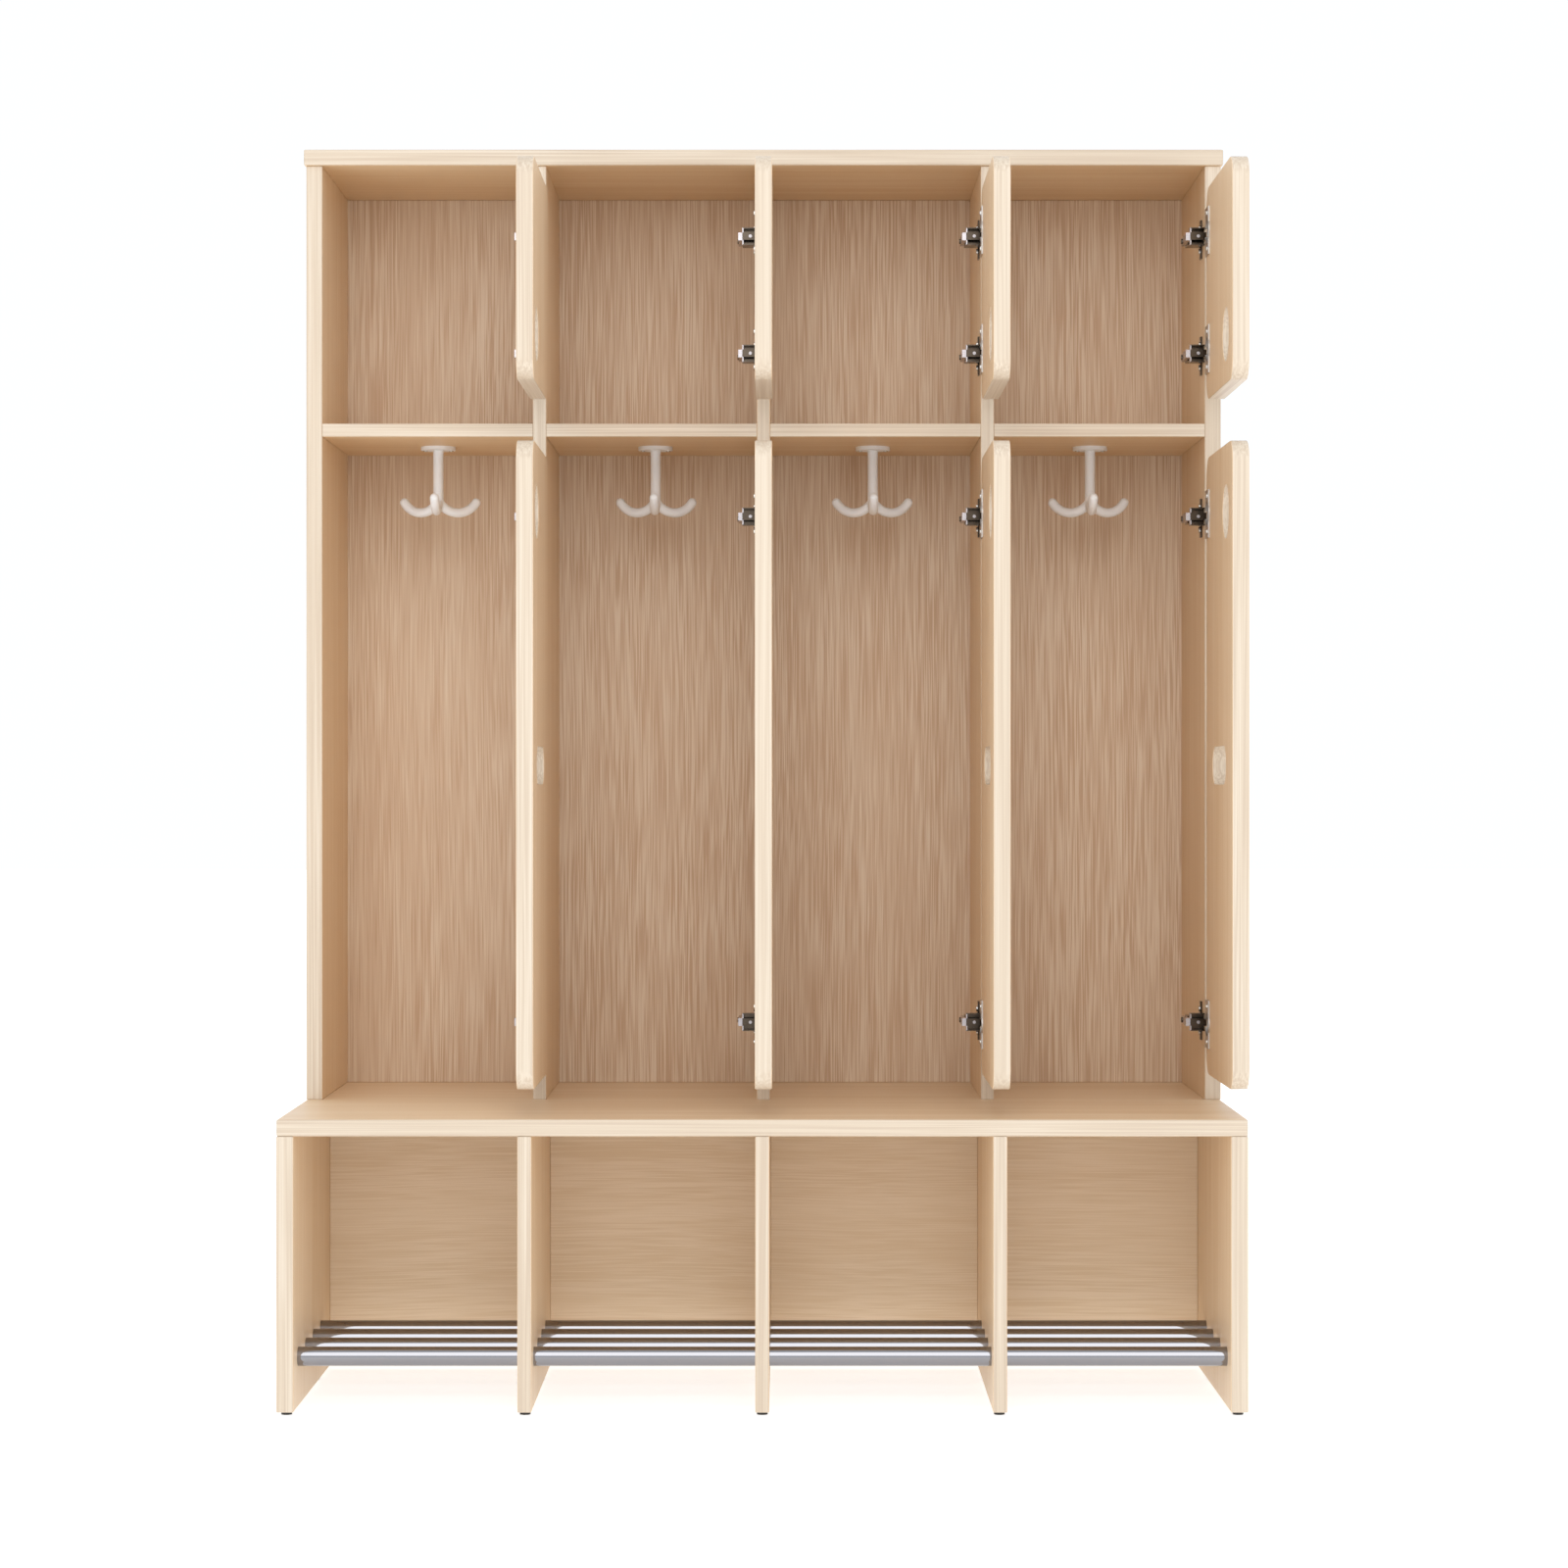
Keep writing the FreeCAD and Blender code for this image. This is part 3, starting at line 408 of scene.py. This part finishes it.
def rounded_outline(curve, centre, width, height, radius, hole=False):
    """Adds a closed Bezier outline with round corners. A hole runs the other way round."""
    points = []
    reach = ARC_HANDLE_SHARE * radius
    for across, up in QUARTERS:
        corner = Vector((centre[0] + across * width / 2, centre[1] + up * height / 2, 0))
        beside = Vector((-across, 0, 0))
        below = Vector((0, -up, 0))
        arc = [corner + below * radius, corner + beside * radius]
        grips = [arc[0] - below * reach, arc[1] - beside * reach]
        if across != up:
            arc.reverse()
            grips.reverse()
        for end, (place, grip) in enumerate(zip(arc, grips)):
            handles = [place, grip] if end == 0 else [grip, place]
            if points and (points[-1][0] - place).length < SAME_PLACE:
                points[-1][2] = handles[1]
            else:
                points.append([place, *handles])
    if (points[0][0] - points[-1][0]).length < SAME_PLACE:
        points[0][1] = points.pop()[1]
    if not hole:
        points = [[place, after, before] for place, before, after in reversed(points)]
    spline = curve.splines.new("BEZIER")
    spline.bezier_points.add(len(points) - 1)
    spline.use_cyclic_u = True
    for bezier, (place, before, after) in zip(spline.bezier_points, points):
        bezier.handle_left_type = bezier.handle_right_type = "FREE"
        bezier.co, bezier.handle_left, bezier.handle_right = place, before, after


def worked_out(item):
    """The mesh that an object has once its curve or its modifiers are worked out."""
    depsgraph = bpy.context.evaluated_depsgraph_get()
    return bpy.data.meshes.new_from_object(item.evaluated_get(depsgraph))


def mesh_of(curve, name):
    """The mesh that a curve makes, with doubled points merged."""
    holder = bpy.data.objects.new(name, curve)
    bpy.context.scene.collection.objects.link(holder)
    mesh = worked_out(holder)
    bpy.data.objects.remove(holder)
    bpy.data.curves.remove(curve)
    shape = bmesh.new()
    shape.from_mesh(mesh)
    bmesh.ops.remove_doubles(shape, verts=shape.verts, dist=MERGE_DISTANCE)
    bmesh.ops.recalc_face_normals(shape, faces=shape.faces)
    shape.to_mesh(mesh)
    shape.free()
    mesh.name = name
    mesh.materials.clear()
    return mesh


# %% [markdown]
# ## Bores for the hinge cups
#
# The cup of a concealed hinge sits in a blind bore near the edge of the door. The bore doesn't go
# through, so it can't be drawn in the flat outline. A cylinder stands for the drill, and a
# boolean modifier takes it away from the finished panel, which is a joiner's order of work too.

# %% Drill for the hinge cups
CUP_RADIUS = 17.5 * MM
CUP_DEPTH = 11.5 * MM
CUP_SET = 22.5 * MM  # from the door's hinge edge to the cup's centre
FLANGE_HALF_HEIGHT = 32.5 * MM  # from a cup's centre to the end of its flange
BORE_OVERRUN = 1 * MM  # the drill starts this far outside the door
BORE_SEGMENTS = 48


def bore_cups(mesh, node, low, high):
    """Drills a door's mesh where its hinge cups sit, on the face that is inside when it closes."""
    cups_low, cups_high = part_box(f"hinge_cups_{node}")
    drill = bmesh.new()
    for height in (cups_low.z + FLANGE_HALF_HEIGHT, cups_high.z - FLANGE_HALF_HEIGHT):
        middle = Vector((low.x + (CUP_DEPTH - BORE_OVERRUN) / 2, high.y - CUP_SET, height))
        turn = Matrix.Translation(middle) @ Matrix.Rotation(math.pi / 2, 4, "Y")
        bmesh.ops.create_cone(drill, cap_ends=True, segments=BORE_SEGMENTS, radius1=CUP_RADIUS,
                              radius2=CUP_RADIUS, depth=CUP_DEPTH + BORE_OVERRUN, matrix=turn)
    drill_mesh = bpy.data.meshes.new("cup_drill")
    drill.to_mesh(drill_mesh)
    drill.free()
    drill_bit = bpy.data.objects.new("cup_drill", drill_mesh)
    blank = bpy.data.objects.new("door_blank", mesh)
    for item in (drill_bit, blank):
        bpy.context.scene.collection.objects.link(item)
    bore = blank.modifiers.new("cup_bores", "BOOLEAN")
    bore.operation = "DIFFERENCE"
    bore.solver = "EXACT"
    bore.object = drill_bit
    drilled = worked_out(blank)
    drilled.name = mesh.name
    for item in (drill_bit, blank):
        bpy.data.objects.remove(item)
    for used in (drill_mesh, mesh):
        bpy.data.meshes.remove(used)
    return drilled


# %% [markdown]
# ## Hanging the doors
#
# Each door is drawn from the corners of its own CAD node, so that it keeps its place and its
# gaps. The curve lies flat, with the door's width along X and its height along Y. A matrix that
# swaps the axes stands it up at a right angle to the lockers, where the door hangs open.

# %% Hang the doors
ARC_STEPS = 12
ROUND_STEPS = 2


def door_panel(node):
    """A door in the place of its CAD node: drawn flat, then stood up along Y and Z."""
    low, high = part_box(node)
    width, height, thickness = high.y - low.y, high.z - low.z, high.x - low.x
    curve = bpy.data.curves.new(f"{node}_outline", "CURVE")
    curve.dimensions = "2D"
    curve.fill_mode = "BOTH"
    curve.resolution_u = ARC_STEPS
    curve.extrude = thickness / 2 - EDGE_ROUND
    curve.bevel_depth = EDGE_ROUND
    curve.bevel_resolution = ROUND_STEPS
    slim = 2 * EDGE_ROUND
    middle = (width / 2, height / 2)
    rounded_outline(curve, middle, width - slim, height - slim, DOOR_CORNER - EDGE_ROUND)
    tall = node.startswith("tall")
    hole_up = height - TALL_HOLE_DROP if tall else UPPER_HOLE_RISE
    hole = 2 * FINGER_HOLE_RADIUS + slim
    rounded_outline(curve, (FINGER_HOLE_INSET, hole_up), hole, hole, hole / 2, hole=True)
    if tall:
        slot = SLOT_HEIGHT + slim
        rounded_outline(curve, middle, SLOT_LENGTH + slim, slot, slot / 2, hole=True)
    mesh = mesh_of(curve, f"{node}_panel")
    stand_up = Matrix(((0, 0, 1), (1, 0, 0), (0, 1, 0))).to_4x4()
    mesh.transform(Matrix.Translation(((low.x + high.x) / 2, low.y, low.z)) @ stand_up)
    mesh = bore_cups(mesh, node, low, high)
    dress_sheet(mesh, LENGTHWAYS["x"], maple_face["z"])
    return stand_for(bpy.data.objects.new(f"{node}_panel", mesh), node, node)


for node in [*named("upper_door"), *named("tall_door")]:
    panel = door_panel(node)
    print(node, len(panel.data.polygons), [round(v / MM, 1) for v in panel.dimensions])

# %% [markdown]
# ## Hooks
#
# The coat hooks are moulded in one piece, so their arms flow into the post with soft inner
# corners. The CAD solid has the right arms and post but meets in hard creases. A copy of its mesh
# is remade from small voxels and smoothed, which rounds the creases the way a mould does.

# %% Mould the hooks
HOOK_VOXEL = 1.0 * MM
SMOOTHING_FACTOR = 0.5
SMOOTHING_PASSES = 8


def moulded_copy(node, body):
    """A copy of a CAD node's mesh with soft creases."""
    piece = bpy.data.objects.new(f"{node}_moulding", nodes[node].data.copy())
    bpy.context.scene.collection.objects.link(piece)
    remake = piece.modifiers.new("voxels", "REMESH")
    remake.mode = "VOXEL"
    remake.voxel_size = HOOK_VOXEL
    soften = piece.modifiers.new("soften", "SMOOTH")
    soften.factor = SMOOTHING_FACTOR
    soften.iterations = SMOOTHING_PASSES
    mesh = worked_out(piece)
    piece.modifiers.clear()
    piece.data = mesh
    mesh.materials.clear()
    mesh.materials.append(white_nylon)
    mesh.shade_smooth()
    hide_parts(node)
    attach(piece, body)
    return piece


for node in named("coat_hook"):
    print(node, len(moulded_copy(node, node).data.polygons))

# %% [markdown]
# ## Pieces that keep their CAD solids
#
# Rods, glides, hinges, screws and dowels have the right shape already. A new mesh could add
# nothing, so they keep their CAD solids and only take their finish.

# %% Finish the fittings
FITTINGS = {
    "shoe_rods": chrome_tube,
    "glide_feet": black_polyethylene,
    "hook_flanges": white_nylon,
    "hook_screws": zinc_screw,
    # The dark nickel's brown is a painted reflection of the wood.
    "hinge_plates": nickel_painted_reflection,
    "hinge_arms": nickel_painted_reflection,
    "hinge_pins": zinc_screw,
    "plate_screws": zinc_screw,
    "arm_screws": nickel_painted_reflection,
    "panel_dowels": maple_face["z"],
}
for node in named("hinge_cups"):
    FITTINGS[node] = satin_flange
for node in named("cup_screws"):
    FITTINGS[node] = zinc_screw
for node, finish in FITTINGS.items():
    nodes[node].data.materials.clear()
    nodes[node].data.materials.append(finish)
print("fittings", len(FITTINGS))

# %% [markdown]
# ## Hinge arms
#
# On a real hinge the arm's bar looks bright, and the pressed channel at its front looks dark
# because it mirrors the inside of the locker. Here both tones are painted on one CAD node: the
# faces that stand furthest from the upright, and the rivet on the strap, which stands in front of
# the lockers, get a painted highlight, and the rest keeps the dark nickel, whose colour is a
# painted reflection of the wood. A narrow bevel modifier puts a glint on the pressed edges.

# %% Finish the hinge arms
CHANNEL_REACH = 18.3 * MM  # faces further from the upright than this belong to the bar
RIVET_SET = 9 * MM  # from the upright to the rivet's centre
RIVET_REACH = 1.05 * 2.2 * MM  # the rivet's radius, with a little to spare
STRAP_FRONT = -1.45 * MM  # the front of the strap, along Y
PRESSED_ROUND = 0.4 * MM
PRESSED_SEGMENTS = 2
bay_rights = [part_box(node)[1].x for node in named("mid_shelf")]
arms = nodes["hinge_arms"]
arms.data.materials.append(nickel_painted_highlight)
painted_highlight_faces = 0
# Faces of the bar and the rivet get the brighter nickel: a painted highlight and a painted glint.
for polygon in arms.data.polygons:
    centre = arms.matrix_world @ polygon.center
    reach = min((edge - centre.x for edge in bay_rights), key=abs)
    rivet_glint = abs(reach - RIVET_SET) < RIVET_REACH and centre.y < STRAP_FRONT
    if reach > CHANNEL_REACH or rivet_glint:
        polygon.material_index = 1
        painted_highlight_faces += 1
for node in ["hinge_arms", "hinge_plates", *named("hinge_cups")]:
    glint = nodes[node].modifiers.new("pressed_edges", "BEVEL")
    glint.width = PRESSED_ROUND
    glint.segments = PRESSED_SEGMENTS
    glint.limit_method = "ANGLE"
print("bright arm faces", painted_highlight_faces, "of", len(arms.data.polygons))

# %% [markdown]
# ## Studio
#
# The bench stands on a plain white floor in an even white room, with one broad soft light high up
# in front. The floor glows, as a light table does, so that hardly any shadow lies on it and light
# comes up into the shoe rack. The camera is level, at about half the bench's height and five
# metres away, with the lens that the photograph's round holes and open doors give.

# %% Floor, light and camera
FLOOR_REACH = 30.0
FLOOR_GLOW = 0.68
PAPER_COLOUR = "#d8d8d8"
PAPER_ROUGHNESS = 0.9
GLOW_COLOUR = "#ffffff"
ROOM_TINT = "#f6faff"
ROOM_STRENGTH = 1.08
FRONT_LIGHT_POWER = 102.0
FRONT_LIGHT_SIZE = (3.0, 5.0)
FRONT_LIGHT_PLACE = Vector((0.0, -5.5, 3.9))
FRONT_LIGHT_AIM = Vector((0.0, 0.0, 0.8))
CAMERA_PLACE = Vector((0.028, -5.0595, 0.8134))
CAMERA_LENS_MM = 85.0
CAMERA_SENSOR_MM = 36.0

floor_mesh = bpy.data.meshes.new("studio_floor")
corners = [(x, y, 0.0) for x, y in ((-1, -1), (1, -1), (1, 1), (-1, 1))]
floor_mesh.from_pydata([Vector(c) * FLOOR_REACH for c in corners], [], [(0, 1, 2, 3)])
floor = bpy.data.objects.new("studio_floor", floor_mesh)
bpy.context.scene.collection.objects.link(floor)
paper, paper_tree = new_finish("white_backdrop_paper")
paper_shader = add(paper_tree, "ShaderNodeBsdfPrincipled",
                   Base_Color=colour(PAPER_COLOUR), Roughness=PAPER_ROUGHNESS,
                   Emission_Color=colour(GLOW_COLOUR), Emission_Strength=FLOOR_GLOW)
add(paper_tree, "ShaderNodeOutputMaterial", Surface=paper_shader.outputs[0])
floor_mesh.materials.append(paper)

room = bpy.data.worlds.new("white_room")
room.use_nodes = True
room.node_tree.nodes["Background"].inputs["Color"].default_value = colour(ROOM_TINT)
room.node_tree.nodes["Background"].inputs["Strength"].default_value = ROOM_STRENGTH
bpy.context.scene.world = room

lamp = bpy.data.lights.new("front_softbox", "AREA")
lamp.energy = FRONT_LIGHT_POWER
lamp.shape = "RECTANGLE"
lamp.size, lamp.size_y = FRONT_LIGHT_SIZE
softbox = bpy.data.objects.new("front_softbox", lamp)
softbox.location = FRONT_LIGHT_PLACE
softbox.rotation_euler = (FRONT_LIGHT_AIM - FRONT_LIGHT_PLACE).to_track_quat("-Z", "Y").to_euler()
bpy.context.scene.collection.objects.link(softbox)

lens = bpy.data.cameras.new("photo_camera")
lens.lens = CAMERA_LENS_MM
lens.sensor_width = CAMERA_SENSOR_MM
camera = bpy.data.objects.new("photo_camera", lens)
camera.location = CAMERA_PLACE
camera.rotation_euler = (math.pi / 2, 0.0, 0.0)
bpy.context.scene.collection.objects.link(camera)
bpy.context.scene.camera = camera
bpy.context.scene.view_settings.view_transform = "Standard"
print("camera", [round(v, 3) for v in CAMERA_PLACE], "lens", CAMERA_LENS_MM, "mm")
